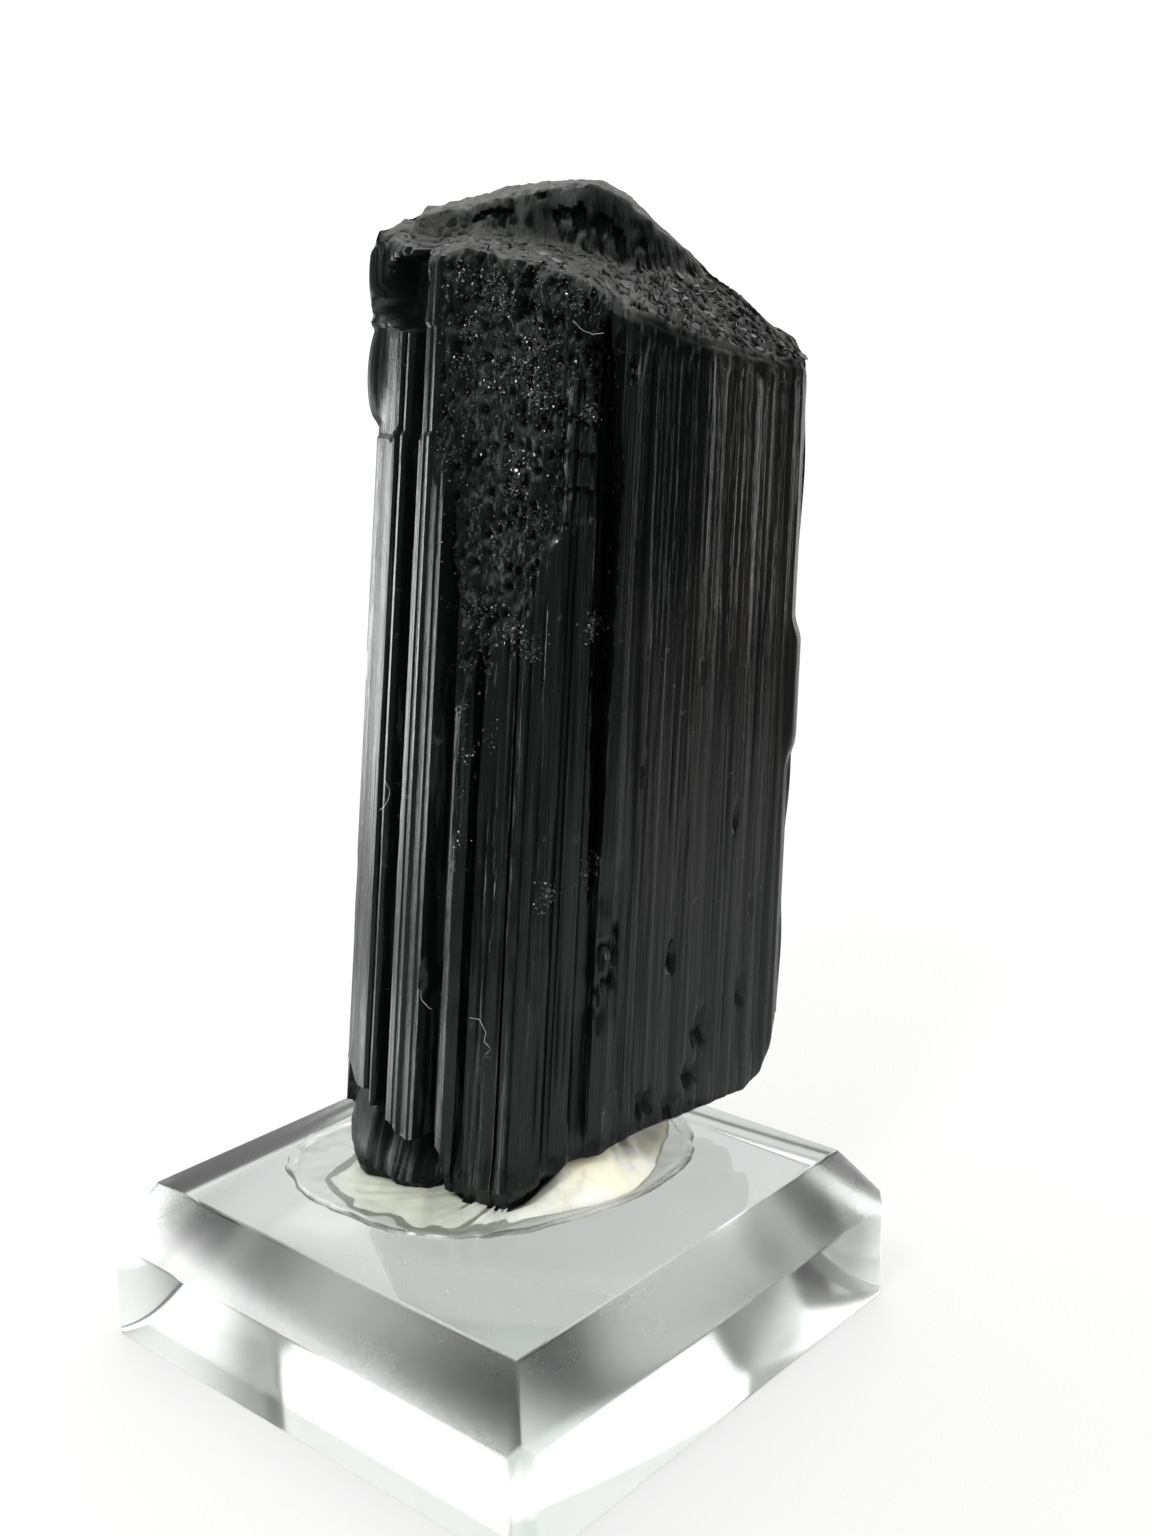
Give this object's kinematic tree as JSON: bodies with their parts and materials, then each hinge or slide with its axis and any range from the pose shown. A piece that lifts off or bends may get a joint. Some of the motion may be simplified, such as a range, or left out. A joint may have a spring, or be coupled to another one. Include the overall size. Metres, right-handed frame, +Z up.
{
  "type": "tourmaline crystal on display base",
  "caption": "Black striated tourmaline prism with a broken, sloping end, standing upright in putty on a clear square block with bevelled edges.",
  "frame": {"origin": "middle of the clear block's underside, on the surface that it stands on", "axes": "+Z up, X and Y along the block's sides; the crystal's front faces look towards +X and -Y"},
  "size_m": [0.038, 0.0449, 0.0757],
  "materials": {
    "crystal": "black, glassy along the striations, dull and pitted where broken",
    "putty": "cream, slightly translucent, smeared, with shiny wet-looking rims",
    "base": "clear and polished, with a faint grey-green tint"
  },
  "bodies": {
    "root": {"base": "base", "crystal": "crystal", "putty": "putty"}
  },
  "joints": []
}
